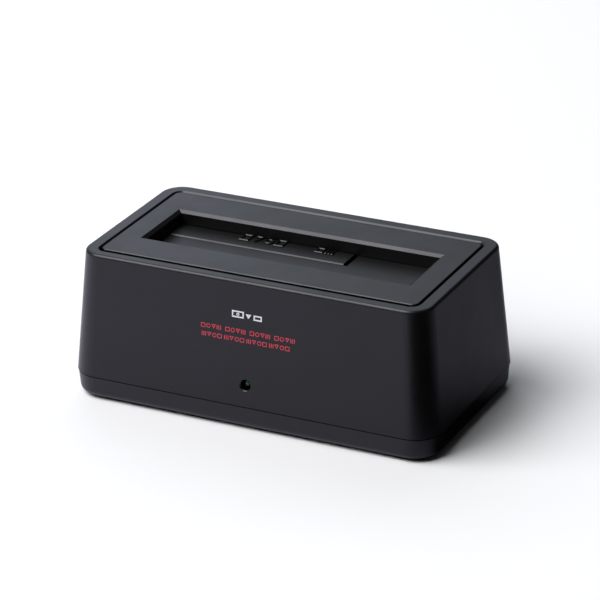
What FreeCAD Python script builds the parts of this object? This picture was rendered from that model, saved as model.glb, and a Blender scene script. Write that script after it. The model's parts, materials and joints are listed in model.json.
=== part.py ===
import FreeCAD, Part
import math
import os

# Hard drive docking station, in millimetres. X is its length, +Y its back, +Z up.
# The origin is the middle of its underside, on the table.

# Drives that it takes
large_drive_width = 101.6
large_drive_thick = 26.1
small_drive_width = 69.85
small_drive_thick = 9.5
connector_from_drive_side = 30.12
connector_from_drive_face = 3.5
drive_side_clearance = 0.6
drive_face_clearance = 0.5

# Top panel, its slot and the groove round it, which all lie a little to the front in the casing
panel_end_margin = 9.85
panel_side_margin = 15.75
panel_thick = 2.4
panel_corner = 2.3
panel_edge_bevel = 0.25
panel_shift_back = -0.4
slot_chamfer = 1.0
slot_end_chamfer = 1.3
slot_front_chamfer = 1.45
throat_wall = 1.8
groove_side_width = 1.425
groove_end_width = 0.65
seat_shift_back = -0.575

# Outer casing
rim_end_width = 5.2
rim_side_width = 4.775
rim_corner = 8.2
rim_edge_round = 1.1
rim_chamfer = 0.55
casing_draft = 5.14
seam_corner = 10.4
casing_wall = 2.2
ledge_thick = 2.0
ledge_lap = 3.0
parting_gap = 0.45
parting_step = 0.25

# Base
foot_stand = 0.7
base_height = 8.3
base_taper = 4.6
base_edge_round = 2.7
base_floor = 2.2
base_wall = 2.3
lip_rise = 1.15
lip_thick = 1.2
lip_clearance = 0.15
label_length = 60.0
label_width = 24.0
label_depth = 0.3

# Shutters and their hinges
shutter_drop = 5.7
shutter_thick = 1.6
shutter_clearance = 0.3
small_shutter_proud = 0.4
small_shutter_slack = 0.35
small_shutter_end_gap = 1.5
small_shutter_short = 0.4
small_shutter_edge_bevel = 0.4
barrel_radius = 2.0
pin_radius = 0.8
hinge_clearance = 0.05
hinge_plate_margin = 2.6
spring_wire_radius = 0.2
spring_coil_radius = 1.35
spring_pitch = 0.55
spring_turns = 5
spring_leg_angle = 30.0
spring_side_gap = 1.0
spring_seat_gap = 0.05
large_spring_from_end = 22.0
small_spring_from_end = 30.0

# Drive cradle under the panel
cradle_wall = 1.6
cradle_floor = 2.0
cradle_top_gap = 3.2
cradle_guide_height = 2.2
door_tip_clearance = 0.8
door_back_clearance = 0.5
cradle_tab_thick = 2.0
cradle_tab_reach = 9.0
cradle_tab_width = 8.0
cradle_tab_from_middle = 30.0

# Main board
board_above_floor = 7.1
board_thick = 1.6
board_column_gap = 1.4
board_front_inset = 5.4
board_back_gap = 0.2
board_screw_from_end = 5.0
board_screw_from_side = 7.5

# Drive connector
connector_length = 44.0
connector_width = 6.0
connector_height = 8.9
connector_reach = 4.5
connector_clearance = 0.4
contact_pitch = 1.27
power_contacts = 15
signal_contacts = 7
contact_group_gap = 6.35
contact_width = 0.7
contact_thick = 0.3
contact_slot_width = 1.5
contact_slot_depth = 6.5
contact_slot_end = 1.3
contact_key = 1.4

# Sockets and switch in the back
port_plate = 2.0
port_face_inset = 2.25
port_recess_length = 92.0
port_recess_corner = 2.0
port_recess_above_board = 11.6
port_recess_below_board = 0.6
port_gap = 0.2
port_setback = 0.2
usb_x = 14.0
usb_width = 12.0
usb_height = 10.7
usb_depth = 16.5
usb_sheet = 0.4
usb_mouth_width = 8.45
usb_mouth_height = 7.78
usb_mouth_depth = 9.0
usb_mouth_corner = 1.7
usb_tongue_width = 5.6
usb_tongue_height = 3.2
usb_tongue_length = 8.4
usb_contact_width = 1.4
usb_contact_thick = 0.15
usb_contact_spacing = 2.8
usb_contact_setback = 1.0
jack_x = 36.0
jack_width = 9.0
jack_height = 11.0
jack_depth = 14.0
jack_axis_above_board = 6.5
jack_bore_radius = 3.15
jack_bore_depth = 9.6
jack_pin_radius = 1.0
jack_pin_setback = 1.2
jack_window_radius = 4.2
switch_x = -34.0
switch_width = 14.4
switch_height = 10.7
switch_depth = 14.0
switch_cavity_width = 12.8
switch_cavity_height = 7.8
rocker_radius = 6.2
rocker_height = 7.4
rocker_tilt = 8.0
rocker_rise = 3.0
rocker_below_pivot = 1.8
rocker_pivot_setback = 2.6
rocker_pin_radius = 1.0
rocker_pin_length = 1.0

# Lamp in the front
lamp_x = 0.0
lamp_above_board = 5.9
lamp_radius = 1.5
lamp_dome_recess = 1.5
lamp_barrel_length = 3.1
lamp_flange_radius = 1.9
lamp_flange_thick = 0.9
lamp_hole_radius = 1.95
lamp_hole_chamfer = 0.3
lamp_holder_width = 5.0
lamp_holder_depth = 4.0
lamp_holder_above_axis = 2.4
lamp_lead_radius = 0.25
lamp_lead_spacing = 2.54
lamp_lead_behind = 0.7

# Feet and screws
foot_radius = 5.0
foot_bevel = 0.25
foot_recess_depth = 1.0
foot_clearance = 0.1
foot_from_screw = 13.0
screw_inset = 6.7
screw_radius = 1.45
screw_clearance = 0.05
screw_hole_slack = 0.15
screw_head_radius = 2.75
screw_head_height = 1.8
screw_head_slack = 0.35
screw_bite = 9.0
pilot_spare = 1.0
small_pilot_spare = 0.5
column_radius = 3.5
column_web = 1.6
base_boss_radius = 4.8
base_boss_floor = 4.0
small_screw_radius = 1.0
small_screw_head_radius = 2.0
small_screw_head_height = 1.4
small_boss_radius = 2.75
small_screw_bite = 4.0
panel_boss_height = 3.0
panel_boss_from_end = 6.0
panel_boss_from_side = 6.85
panel_tab_thick = 2.0
panel_tab_reach = 3.5

# A screw head's bevel, and its cross recess, as shares of its height and radius
head_bevel_share = 0.25
cross_depth_share = 0.5
cross_arm_share = 0.17
cross_reach_share = 0.6

# Parts on the board
chip_size = 10.0
chip_height = 1.4
chip_x = -12.0
chip_y = 27.0
regulator_from_board_end = 29.25
regulator_size = 6.4
regulator_height = 2.3
inductor_size = 7.0
inductor_height = 4.2
inductor_from_regulator = 16.0
can_radius = 3.15
can_height = 7.7
can_spacing = 8.5
can_base_height = 1.2
can_edge_round = 0.6
crystal_length = 10.6
crystal_width = 4.6
crystal_height = 3.4
crystal_x = -20.6
board_part_bevel_share = 0.125
front_parts_y = -26.5

# A rounded edge is made as narrow facets, a spring's coil as arcs, a cut runs past the face that it
# opens, and an edge is picked by its place.
edge_facets = 6
arcs_per_turn = 8
cut_margin = 1.0
place_tolerance = 1e-6


def vec(x, y, z):
    return FreeCAD.Vector(x, y, z)


X_AXIS = vec(1, 0, 0)
Y_AXIS = vec(0, 1, 0)
Z_AXIS = vec(0, 0, 1)


def block(x0, x1, y0, y1, z0, z1):
    """A box between two corners."""
    return Part.makeBox(x1 - x0, y1 - y0, z1 - z0, vec(x0, y0, z0))


def rod(radius, start, axis, length):
    """A cylinder from start along axis."""
    return Part.makeCylinder(radius, length, start, axis)


def rounded_outline(length, width, corner, z, y_middle=0.0):
    """A rectangle with round corners, centred on X = 0, as a closed wire."""
    a = length / 2
    b = width / 2
    r = corner
    k = r * math.sqrt(0.5)
    edges = []
    corners = [(a - r, b - r, 1, 1), (-a + r, b - r, -1, 1)]
    corners += [(-a + r, -b + r, -1, -1), (a - r, -b + r, 1, -1)]
    last = None
    first = None
    for index, (cx, cy, sx, sy) in enumerate(corners):
        on_x = vec(cx + sx * r, cy + y_middle, z)
        on_y = vec(cx, cy + sy * r + y_middle, z)
        middle = vec(cx + sx * k, cy + sy * k + y_middle, z)
        start, end = (on_x, on_y) if index % 2 == 0 else (on_y, on_x)
        if last is None:
            first = start
        else:
            edges.append(Part.LineSegment(last, start).toShape())
        edges.append(Part.Arc(start, middle, end).toShape())
        last = end
    edges.append(Part.LineSegment(last, first).toShape())
    return Part.Wire(edges)


def rounded_loft(levels, y_middle=0.0):
    """A solid through round-cornered outlines, each given as length, width, corner, height."""
    wires = [rounded_outline(*level, y_middle) for level in levels]
    return Part.makeLoft(wires, True, True)


def rounded_prism(length, width, corner, z0, z1, y_middle=0.0):
    """An upright block with round corners."""
    return rounded_loft([(length, width, corner, z0), (length, width, corner, z1)], y_middle)


def polygon_prism(points, direction):
    """A flat outline of 3-D points, swept straight along direction."""
    wire = Part.makePolygon(points + [points[0]])
    return Part.Face(wire).extrude(direction)


def four_corners(x, y):
    """The four places that mirror one place in X and in Y."""
    return [(x, y), (-x, y), (-x, -y), (x, -y)]


def fused(solids):
    """One solid from pieces that meet."""
    whole = solids[0]
    if len(solids) > 1:
        whole = solids[0].multiFuse(solids[1:])
    return whole.removeSplitter()


def edges_at_height(shape, z):
    """The edges of a shape whose middle is at a height."""
    return [edge for edge in shape.Edges if abs(edge.CenterOfMass.z - z) < place_tolerance]


def save(node, solids):
    """One STEP file for a node, from one solid or from a group of them."""
    if isinstance(solids, list):
        shape = Part.makeCompound(solids)
    else:
        shape = solids
    shape.exportStep("parts/" + node + ".step")
    print(node, len(shape.Solids), "solids", round(shape.Volume, 1), "mm3", shape.isValid())


os.makedirs("parts", exist_ok=True)

# Plan sizes, from the drives outwards
slot_length = large_drive_width + 2 * drive_side_clearance
slot_width = large_drive_thick + 2 * drive_face_clearance
slot_end = slot_length / 2
slot_front = panel_shift_back - slot_width / 2
slot_back = panel_shift_back + slot_width / 2
panel_length = slot_length + 2 * panel_end_margin
panel_width = slot_width + 2 * panel_side_margin
seat_length = panel_length + 2 * groove_end_width
seat_width = panel_width + 2 * groove_side_width
seat_corner = panel_corner + (groove_end_width + groove_side_width) / 2
rim_length = seat_length + 2 * rim_end_width
rim_width = seat_width + 2 * rim_side_width

# Shutters in plan
small_shutter_width = small_drive_width - small_shutter_short
small_shutter_front = slot_back - small_drive_thick - small_shutter_slack
small_shutter_end = -slot_end + shutter_clearance + small_shutter_width
large_hinge_y = slot_front - barrel_radius
small_hinge_y = slot_back + barrel_radius
large_door_length = slot_back - shutter_clearance - large_hinge_y

# Heights, from the table upwards
floor_top = foot_stand + base_floor
base_top = foot_stand + base_height
seam = base_top + parting_gap
lip_top = seam + lip_rise
board_bottom = floor_top + board_above_floor
board_top = board_bottom + board_thick
connector_top = board_top + connector_height
drive_stop = connector_top - connector_reach
cradle_bottom = drive_stop - cradle_floor
large_hinge_z = drive_stop + cradle_guide_height + door_tip_clearance + large_door_length
shutter_top = large_hinge_z + barrel_radius
small_shutter_top = shutter_top + small_shutter_proud
small_hinge_z = small_shutter_top - barrel_radius
top = shutter_top + shutter_drop
panel_bottom = top - panel_thick
ledge_bottom = panel_bottom - ledge_thick
cradle_top = large_hinge_z - cradle_top_gap
lamp_z = board_top + lamp_above_board

# Outline of the casing and of its parting line
draft_slope = math.tan(math.radians(casing_draft))
seam_length = rim_length + 2 * (top - seam) * draft_slope
seam_width = rim_width + 2 * (top - seam) * draft_slope


def casing_half_width(z):
    """How far the casing's back or front face stands from the middle at a height."""
    return rim_width / 2 + (top - z) * draft_slope


def casing_level(z, inset):
    """The casing's outline at a height, moved in by an inset."""
    run = 2 * ((top - z) * draft_slope - inset)
    share = (top - z) / (top - seam)
    corner = rim_corner + (seam_corner - rim_corner) * share - inset
    return (rim_length + run, rim_width + run, corner, z)


def rounded_edge_levels(level_at, radius, z_start, rise):
    """Levels that round an edge: rise is 1 where the edge is above, -1 where it is below."""
    levels = []
    for step in range(edge_facets + 1):
        angle = math.pi / 2 * step / edge_facets
        inset = radius * (1 - math.cos(angle))
        levels.append(level_at(z_start + rise * radius * math.sin(angle), inset))
    return levels


screw_x = rim_length / 2 - screw_inset
screw_y = rim_width / 2 - screw_inset
board_half_length = screw_x - column_radius - board_column_gap
port_face = seam_width / 2 - port_face_inset
port_inner = port_face - port_plate
board_back = port_inner - board_back_gap
board_front = -(seam_width / 2 - board_front_inset)
panel_boss_x = panel_length / 2 - panel_boss_from_end
panel_boss_y = panel_width / 2 - panel_boss_from_side
cradle_front_inner = slot_front - shutter_thick - door_back_clearance
cradle_back_inner = slot_back + shutter_thick + door_back_clearance
cradle_front_outer = cradle_front_inner - cradle_wall
cradle_back_outer = cradle_back_inner + cradle_wall
cradle_screw_front = cradle_front_outer - cradle_tab_reach / 2
cradle_screw_back = cradle_back_outer + cradle_tab_reach / 2
cradle_screw_places = []
for side_x in (-cradle_tab_from_middle, cradle_tab_from_middle):
    cradle_screw_places.append((side_x, cradle_screw_front))
    cradle_screw_places.append((side_x, cradle_screw_back))
board_screw_x = board_half_length - board_screw_from_end
board_screw_y = min(board_back, -board_front) - board_screw_from_side
connector_x = -slot_end + drive_side_clearance + connector_from_drive_side
connector_y = slot_back - drive_face_clearance - connector_from_drive_face
regulator_x = board_half_length - regulator_from_board_end
inductor_x = regulator_x - inductor_from_regulator


def make_upper_housing():
    """The drafted shell: rim, ledge for the panel, screw columns, lamp hole and port plate."""
    levels = [casing_level(seam, 0.0)]
    levels += rounded_edge_levels(casing_level, rim_edge_round, top - rim_edge_round, 1)
    outer = rounded_loft(levels)
    inside = rounded_loft(
        [casing_level(seam - cut_margin, casing_wall), casing_level(ledge_bottom, casing_wall)]
    )
    seat = rounded_prism(seat_length, seat_width, seat_corner, panel_bottom, top + cut_margin,
                         seat_shift_back)
    bevel_reach = rim_chamfer + cut_margin
    bevel = rounded_loft(
        [
            (seat_length, seat_width, seat_corner, top - rim_chamfer),
            (
                seat_length + 2 * bevel_reach,
                seat_width + 2 * bevel_reach,
                seat_corner + bevel_reach,
                top + cut_margin,
            ),
        ],
        seat_shift_back,
    )
    opening = rounded_prism(
        panel_length - 2 * ledge_lap,
        panel_width - 2 * ledge_lap,
        panel_corner,
        ledge_bottom - cut_margin,
        panel_bottom + cut_margin,
        panel_shift_back,
    )
    shell = outer.cut(inside).cut(seat).cut(bevel).cut(opening)

    # Columns for the base screws stand in the corners, each with a web to the end wall.
    additions = []
    for x, y in four_corners(screw_x, screw_y):
        column = rod(column_radius, vec(x, y, seam), Z_AXIS, ledge_bottom - seam + ledge_thick / 2)
        web_end = math.copysign(seam_length / 2, x)
        web = block(
            min(x, web_end),
            max(x, web_end),
            y - column_web / 2,
            y + column_web / 2,
            lip_top + lip_clearance,
            ledge_bottom + ledge_thick / 2,
        )
        additions.append(column)
        additions.append(web.common(outer))

    # Tabs under the ledge take the screws that hold the panel down.
    tab_top = panel_bottom - panel_boss_height
    for x, y in four_corners(panel_boss_x, panel_boss_y):
        tab_end = math.copysign(seam_length / 2, x)
        tab_start = x - math.copysign(panel_tab_reach, x)
        tab = block(
            min(tab_start, tab_end),
            max(tab_start, tab_end),
            y - panel_tab_reach,
            y + panel_tab_reach,
            tab_top - panel_tab_thick,
            tab_top,
        )
        additions.append(tab.common(outer))

    # A flat upright plate behind the sockets.
    plate = block(
        -port_recess_length / 2 - port_plate,
        port_recess_length / 2 + port_plate,
        port_inner,
        seam_width / 2 + cut_margin,
        lip_top + lip_clearance,
        board_top + port_recess_above_board + port_plate,
    )
    additions.append(plate.common(outer))
    shell = fused([shell] + additions)

    for x, y in four_corners(screw_x, screw_y):
        pilot = rod(screw_radius + screw_clearance, vec(x, y, seam - cut_margin), Z_AXIS,
                    cut_margin + screw_bite + pilot_spare)
        shell = shell.cut(pilot)
    hole_start = tab_top - panel_tab_thick - cut_margin
    hole_end = (tab_top + ledge_bottom) / 2
    for x, y in four_corners(panel_boss_x, panel_boss_y):
        hole = rod(small_screw_radius + screw_hole_slack, vec(x, y, hole_start), Z_AXIS,
                   hole_end - hole_start)
        shell = shell.cut(hole)

    # The recess for the sockets, then their windows.
    recess_bottom = board_top - port_recess_below_board
    recess_height = port_recess_above_board + port_recess_below_board
    recess = rounded_prism(port_recess_length, recess_height, port_recess_corner, 0.0,
                           port_face_inset + cut_margin)
    recess.rotate(vec(0, 0, 0), X_AXIS, -90)
    recess.translate(vec(0, port_face, recess_bottom + recess_height / 2))
    shell = shell.cut(recess)
    window_start = port_inner - cut_margin
    window_end = port_face + cut_margin
    usb_window = block(
        usb_x - usb_width / 2 - port_gap,
        usb_x + usb_width / 2 + port_gap,
        window_start,
        window_end,
        board_top - port_gap,
        board_top + usb_height + port_gap,
    )
    switch_window = block(
        switch_x - switch_width / 2 - port_gap,
        switch_x + switch_width / 2 + port_gap,
        window_start,
        window_end,
        board_top - port_gap,
        board_top + switch_height + port_gap,
    )
    jack_window = rod(
        jack_window_radius,
        vec(jack_x, window_start, board_top + jack_axis_above_board),
        Y_AXIS,
        window_end - window_start,
    )
    shell = shell.cut(usb_window).cut(switch_window).cut(jack_window)

    # The lamp's hole, bevelled outside, both square to the sloping face.
    slope = math.radians(casing_draft)
    outward = vec(0, -math.cos(slope), math.sin(slope))
    face_point = vec(lamp_x, -casing_half_width(lamp_z), lamp_z)
    hole_depth = casing_wall + 2 * cut_margin
    hole = rod(lamp_hole_radius, face_point - outward * hole_depth, outward,
               hole_depth + cut_margin)
    cone_depth = lamp_hole_radius
    cone = Part.makeCone(
        lamp_hole_radius + lamp_hole_chamfer - cone_depth / 2,
        lamp_hole_radius + lamp_hole_chamfer + cut_margin,
        cone_depth / 2 + cut_margin,
        face_point - outward * cone_depth / 2,
        outward,
    )
    return shell.cut(hole).cut(cone).removeSplitter()


def make_top_panel():
    """The plate in the rim, the slot's throat, the hinge plates and the screw bosses."""

    def level(z, inset):
        return (panel_length - 2 * inset, panel_width - 2 * inset, panel_corner - inset, z)

    levels = [level(panel_bottom, 0.0), level(top - panel_edge_bevel, 0.0),
              level(top, panel_edge_bevel)]
    pieces = [rounded_loft(levels, panel_shift_back)]

    throat_front = block(-slot_end, slot_end, slot_front - throat_wall, slot_front,
                         shutter_top + shutter_clearance, panel_bottom + panel_thick / 2)
    throat_back = block(-slot_end, slot_end, slot_back, slot_back + throat_wall,
                        small_shutter_top + shutter_clearance, panel_bottom + panel_thick / 2)
    pieces += [throat_front, throat_back]

    # End plates close the throat and carry both hinge pins.
    plate_bottom = min(large_hinge_z, small_hinge_z) - hinge_plate_margin
    for side in (-1, 1):
        inner = side * slot_end
        outer = side * (slot_end + throat_wall)
        pieces.append(
            block(
                min(inner, outer),
                max(inner, outer),
                large_hinge_y - hinge_plate_margin,
                small_hinge_y + hinge_plate_margin,
                plate_bottom,
                panel_bottom + panel_thick / 2,
            )
        )

    # A third hinge plate carries the inner end of the small shutter's pin. From there on the slot's
    # back wall reaches down behind the large shutter.
    third_start = small_shutter_end + shutter_clearance
    pieces.append(block(third_start, slot_end, slot_back, slot_back + throat_wall,
                        shutter_top - shutter_thick, panel_bottom + panel_thick / 2))
    pieces.append(
        block(
            third_start,
            third_start + throat_wall,
            slot_back + shutter_clearance,
            small_hinge_y + hinge_plate_margin,
            plate_bottom,
            panel_bottom + panel_thick / 2,
        )
    )
    for x, y in four_corners(panel_boss_x, panel_boss_y):
        pieces.append(rod(small_boss_radius, vec(x, y, panel_bottom - panel_boss_height), Z_AXIS,
                          panel_boss_height + panel_thick / 2))
    for x, y in cradle_screw_places:
        pieces.append(rod(small_boss_radius, vec(x, y, cradle_top), Z_AXIS,
                          panel_bottom - cradle_top + panel_thick / 2))
    panel = fused(pieces)

    slot = block(-slot_end, slot_end, slot_front, slot_back, panel_bottom - cut_margin,
                 top + cut_margin)
    reach = slot_chamfer + cut_margin
    end_reach = slot_end_chamfer * reach / slot_chamfer
    front_reach = slot_front_chamfer * reach / slot_chamfer
    low = [
        vec(-slot_end, slot_front, top - slot_chamfer),
        vec(slot_end, slot_front, top - slot_chamfer),
        vec(slot_end, slot_back, top - slot_chamfer),
        vec(-slot_end, slot_back, top - slot_chamfer),
    ]
    high = [
        vec(-slot_end - end_reach, slot_front - front_reach, top + cut_margin),
        vec(slot_end + end_reach, slot_front - front_reach, top + cut_margin),
        vec(slot_end + end_reach, slot_back + reach, top + cut_margin),
        vec(-slot_end - end_reach, slot_back + reach, top + cut_margin),
    ]
    low_wire = Part.makePolygon(low + [low[0]])
    high_wire = Part.makePolygon(high + [high[0]])
    bevel = Part.makeLoft([low_wire, high_wire], True, True)
    panel = panel.cut(slot).cut(bevel)

    large_bore = rod(pin_radius + hinge_clearance,
                     vec(-slot_end - throat_wall - cut_margin, large_hinge_y, large_hinge_z),
                     X_AXIS, slot_length + 2 * throat_wall + 2 * cut_margin)
    small_bore = rod(pin_radius + hinge_clearance,
                     vec(-slot_end - throat_wall - cut_margin, small_hinge_y, small_hinge_z),
                     X_AXIS, third_start + throat_wall + slot_end + throat_wall + 2 * cut_margin)
    panel = panel.cut(large_bore).cut(small_bore)
    for x, y in four_corners(panel_boss_x, panel_boss_y):
        panel = panel.cut(
            rod(small_screw_radius + screw_clearance,
                vec(x, y, panel_bottom - panel_boss_height - cut_margin), Z_AXIS,
                cut_margin + small_screw_bite + small_pilot_spare)
        )
    for x, y in cradle_screw_places:
        panel = panel.cut(
            rod(small_screw_radius + screw_clearance, vec(x, y, cradle_top - cut_margin), Z_AXIS,
                cut_margin + small_screw_bite + small_pilot_spare)
        )
    return panel.removeSplitter()


def make_base_cover():
    """The tapered tray with its lip, screw bosses, board posts and foot recesses."""
    taper = math.tan(math.radians(base_taper))

    def level(z, inset):
        run = parting_step + (base_top - z) * taper + inset
        return (seam_length - 2 * run, seam_width - 2 * run, seam_corner - run, z)

    levels = rounded_edge_levels(level, base_edge_round, foot_stand + base_edge_round, -1)
    levels.reverse()
    levels.append(level(base_top, 0.0))
    outer = rounded_loft(levels)
    inside = rounded_loft([level(floor_top, base_wall), level(base_top + cut_margin, base_wall)])
    tray = outer.cut(inside)

    # The lip stands inside the casing and keeps light out of the parting gap.
    lip_low = level(base_top, base_wall - lip_thick / 2)
    lip_in = level(base_top, base_wall + lip_thick / 2)
    low_ring = rounded_prism(*lip_low[:3], base_top - lip_rise, base_top)
    casing_inside = casing_level(lip_top, casing_wall + lip_clearance)
    high_ring = rounded_prism(*casing_inside[:3], base_top - lip_rise, lip_top)
    hollow = rounded_prism(lip_in[0], lip_in[1], lip_in[2], base_top - lip_rise - cut_margin,
                           lip_top + cut_margin)
    lip = low_ring.fuse(high_ring).cut(hollow)
    pieces = [tray, lip]

    for x, y in four_corners(screw_x, screw_y):
        pieces.append(rod(base_boss_radius, vec(x, y, floor_top - base_floor / 2), Z_AXIS,
                          seam - floor_top + base_floor / 2))
    for x, y in four_corners(board_screw_x, board_screw_y):
        pieces.append(rod(small_boss_radius, vec(x, y, floor_top - base_floor / 2), Z_AXIS,
                          board_bottom - floor_top + base_floor / 2))
    base = fused(pieces)

    head_seat = foot_stand + base_boss_floor + screw_head_height / 2
    for x, y in four_corners(screw_x, screw_y):
        base = base.cut(rod(screw_head_radius + screw_head_slack,
                            vec(x, y, foot_stand - cut_margin), Z_AXIS,
                            head_seat - foot_stand + cut_margin))
        base = base.cut(rod(screw_radius + screw_hole_slack, vec(x, y, foot_stand), Z_AXIS,
                            seam - foot_stand + cut_margin))
    for x, y in four_corners(screw_x - foot_from_screw, screw_y):
        base = base.cut(rod(foot_radius + foot_clearance, vec(x, y, foot_stand - cut_margin),
                            Z_AXIS, foot_recess_depth + cut_margin))
    for x, y in four_corners(board_screw_x, board_screw_y):
        base = base.cut(rod(small_screw_radius + screw_clearance,
                            vec(x, y, board_bottom - small_screw_bite), Z_AXIS,
                            small_screw_bite + cut_margin))
    label = rounded_prism(label_length, label_width, port_recess_corner, foot_stand - cut_margin,
                          foot_stand + label_depth)
    return base.cut(label).removeSplitter()


# The coils end a leg's angle past a whole number and a quarter of turns.
spring_end_turns = spring_turns + (90 + spring_leg_angle) / 360
spring_gap_length = spring_pitch * spring_end_turns + 2 * spring_side_gap


def make_large_shutter():
    """The L-shaped door: a front strip and a right part, on a barrel along the slot's front."""
    left = -slot_end + shutter_clearance
    right = slot_end - shutter_clearance
    notch = small_shutter_end + small_shutter_end_gap
    strip_back = small_shutter_front - shutter_clearance
    part_back = slot_back - shutter_clearance
    z0 = shutter_top - shutter_thick
    outline = [
        vec(left, large_hinge_y, z0),
        vec(right, large_hinge_y, z0),
        vec(right, part_back, z0),
        vec(notch, part_back, z0),
        vec(notch, strip_back, z0),
        vec(left, strip_back, z0),
    ]
    plate = polygon_prism(outline, vec(0, 0, shutter_thick))
    barrel = rod(barrel_radius, vec(left, large_hinge_y, large_hinge_z), X_AXIS, right - left)
    door = fused([plate, barrel])
    door = door.cut(rod(pin_radius + hinge_clearance, vec(left - cut_margin, large_hinge_y,
                    large_hinge_z), X_AXIS, right - left + 2 * cut_margin))
    gap_start = left + large_spring_from_end
    gap = block(gap_start, gap_start + spring_gap_length, large_hinge_y - 2 * barrel_radius,
                large_hinge_y + barrel_radius, large_hinge_z - 2 * barrel_radius,
                shutter_top + cut_margin)
    return door.cut(gap).removeSplitter()


def make_small_shutter():
    """The door at the back left, on a barrel along the slot's back, with a bevelled front edge."""
    left = -slot_end + shutter_clearance
    right = small_shutter_end
    z0 = small_shutter_top - shutter_thick
    plate = block(left, right, small_shutter_front, small_hinge_y, z0, small_shutter_top)
    front_edge = [
        edge
        for edge in edges_at_height(plate, small_shutter_top)
        if abs(edge.CenterOfMass.y - small_shutter_front) < place_tolerance
    ]
    plate = plate.makeChamfer(small_shutter_edge_bevel, front_edge)
    barrel = rod(barrel_radius, vec(left, small_hinge_y, small_hinge_z), X_AXIS, right - left)
    door = fused([plate, barrel])
    door = door.cut(rod(pin_radius + hinge_clearance, vec(left - cut_margin, small_hinge_y,
                    small_hinge_z), X_AXIS, right - left + 2 * cut_margin))
    gap_start = left + small_spring_from_end
    gap = block(gap_start, gap_start + spring_gap_length, small_hinge_y - barrel_radius,
                small_hinge_y + 2 * barrel_radius, small_hinge_z - 2 * barrel_radius,
                small_shutter_top + cut_margin)
    return door.cut(gap).removeSplitter()


def make_spring(start_x, hinge_y, hinge_z, toward_door):
    """A torsion spring: one leg up to the panel, a coil round the pin, one leg under the door."""
    coil_r = spring_coil_radius
    wire_r = spring_wire_radius
    total = 2 * math.pi * spring_end_turns
    advance = spring_pitch / (2 * math.pi)

    def on_coil(angle):
        y = hinge_y - toward_door * coil_r * math.cos(angle)
        return vec(start_x + advance * angle, y, hinge_z - coil_r * math.sin(angle))

    def tangent(angle):
        along = vec(advance, toward_door * coil_r * math.sin(angle), -coil_r * math.cos(angle))
        return along.normalize()

    first = on_coil(0.0)
    up = tangent(0.0) * -1
    leg_top = first + up * ((panel_bottom - spring_seat_gap - wire_r - hinge_z) / up.z)
    edges = [Part.LineSegment(leg_top, first).toShape()]
    arcs = arcs_per_turn * spring_turns
    for index in range(arcs):
        a0 = total * index / arcs
        a1 = total * (index + 1) / arcs
        edges.append(Part.Arc(on_coil(a0), on_coil((a0 + a1) / 2), on_coil(a1)).toShape())
    last = on_coil(total)
    away = tangent(total)
    leg_rise = hinge_z + barrel_radius - shutter_thick - spring_seat_gap - wire_r - last.z
    edges.append(Part.LineSegment(last, last + away * (leg_rise / away.z)).toShape())
    path = Part.Wire(edges)
    profile = Part.Wire(Part.makeCircle(wire_r, leg_top, up))
    spring = path.makePipeShell([profile], True, False)
    length = sum(edge.Length for edge in edges)
    expected = math.pi * wire_r * wire_r * length
    print("spring volume against section times length", round(spring.Volume / expected, 4))
    return spring


def make_drive_cradle():
    """The well under the shutters: four walls, guide steps, a floor and screw tabs."""
    wall_end = slot_end + cradle_wall
    outer = block(-wall_end, wall_end, cradle_front_outer, cradle_back_outer, cradle_bottom,
                  cradle_top)
    inner = block(-slot_end, slot_end, cradle_front_inner, cradle_back_inner, drive_stop,
                  cradle_top + cut_margin)
    pieces = [outer.cut(inner)]

    # Steps fill the room behind the open doors, up to just below the doors' tips.
    front_guide_top = drive_stop + cradle_guide_height
    small_door_length = small_hinge_y - small_shutter_front
    back_guide_top = small_hinge_z - small_door_length - door_tip_clearance
    pieces.append(block(-slot_end, slot_end, cradle_front_inner, slot_front, cradle_bottom,
                        front_guide_top))
    pieces.append(block(-slot_end, slot_end, slot_back, cradle_back_inner, cradle_bottom,
                        back_guide_top))
    for x, y in cradle_screw_places:
        wall_y = cradle_front_outer if y < 0 else cradle_back_outer
        end_y = y + math.copysign(cradle_tab_reach / 2, y)
        pieces.append(block(x - cradle_tab_width / 2, x + cradle_tab_width / 2, min(wall_y, end_y),
                            max(wall_y, end_y), cradle_top - cradle_tab_thick, cradle_top))
    cradle = fused(pieces)
    for x, y in cradle_screw_places:
        cradle = cradle.cut(rod(small_screw_radius + screw_hole_slack,
                                vec(x, y, cradle_top - cradle_tab_thick - cut_margin), Z_AXIS,
                                cradle_tab_thick + 2 * cut_margin))
    window = block(
        connector_x - connector_length / 2 - connector_clearance,
        connector_x + connector_length / 2 + connector_clearance,
        connector_y - connector_width / 2 - connector_clearance,
        connector_y + connector_width / 2 + connector_clearance,
        cradle_bottom - cut_margin,
        drive_stop + connector_reach + cut_margin,
    )
    return cradle.cut(window).removeSplitter()


def make_main_board():
    """The circuit board, with its four screw holes."""
    board = block(-board_half_length, board_half_length, board_front, board_back, board_bottom,
                  board_top)
    for x, y in four_corners(board_screw_x, board_screw_y):
        board = board.cut(rod(small_screw_radius + screw_hole_slack,
                              vec(x, y, board_bottom - cut_margin), Z_AXIS,
                              board_thick + 2 * cut_margin))
    return board


# The contact rows run from the power end, at the left, to the signal end.
power_span = (power_contacts - 1) * contact_pitch
signal_span = (signal_contacts - 1) * contact_pitch
contact_span = power_span + contact_group_gap + signal_span
power_start = connector_x - contact_span / 2
signal_start = power_start + power_span + contact_group_gap


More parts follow.
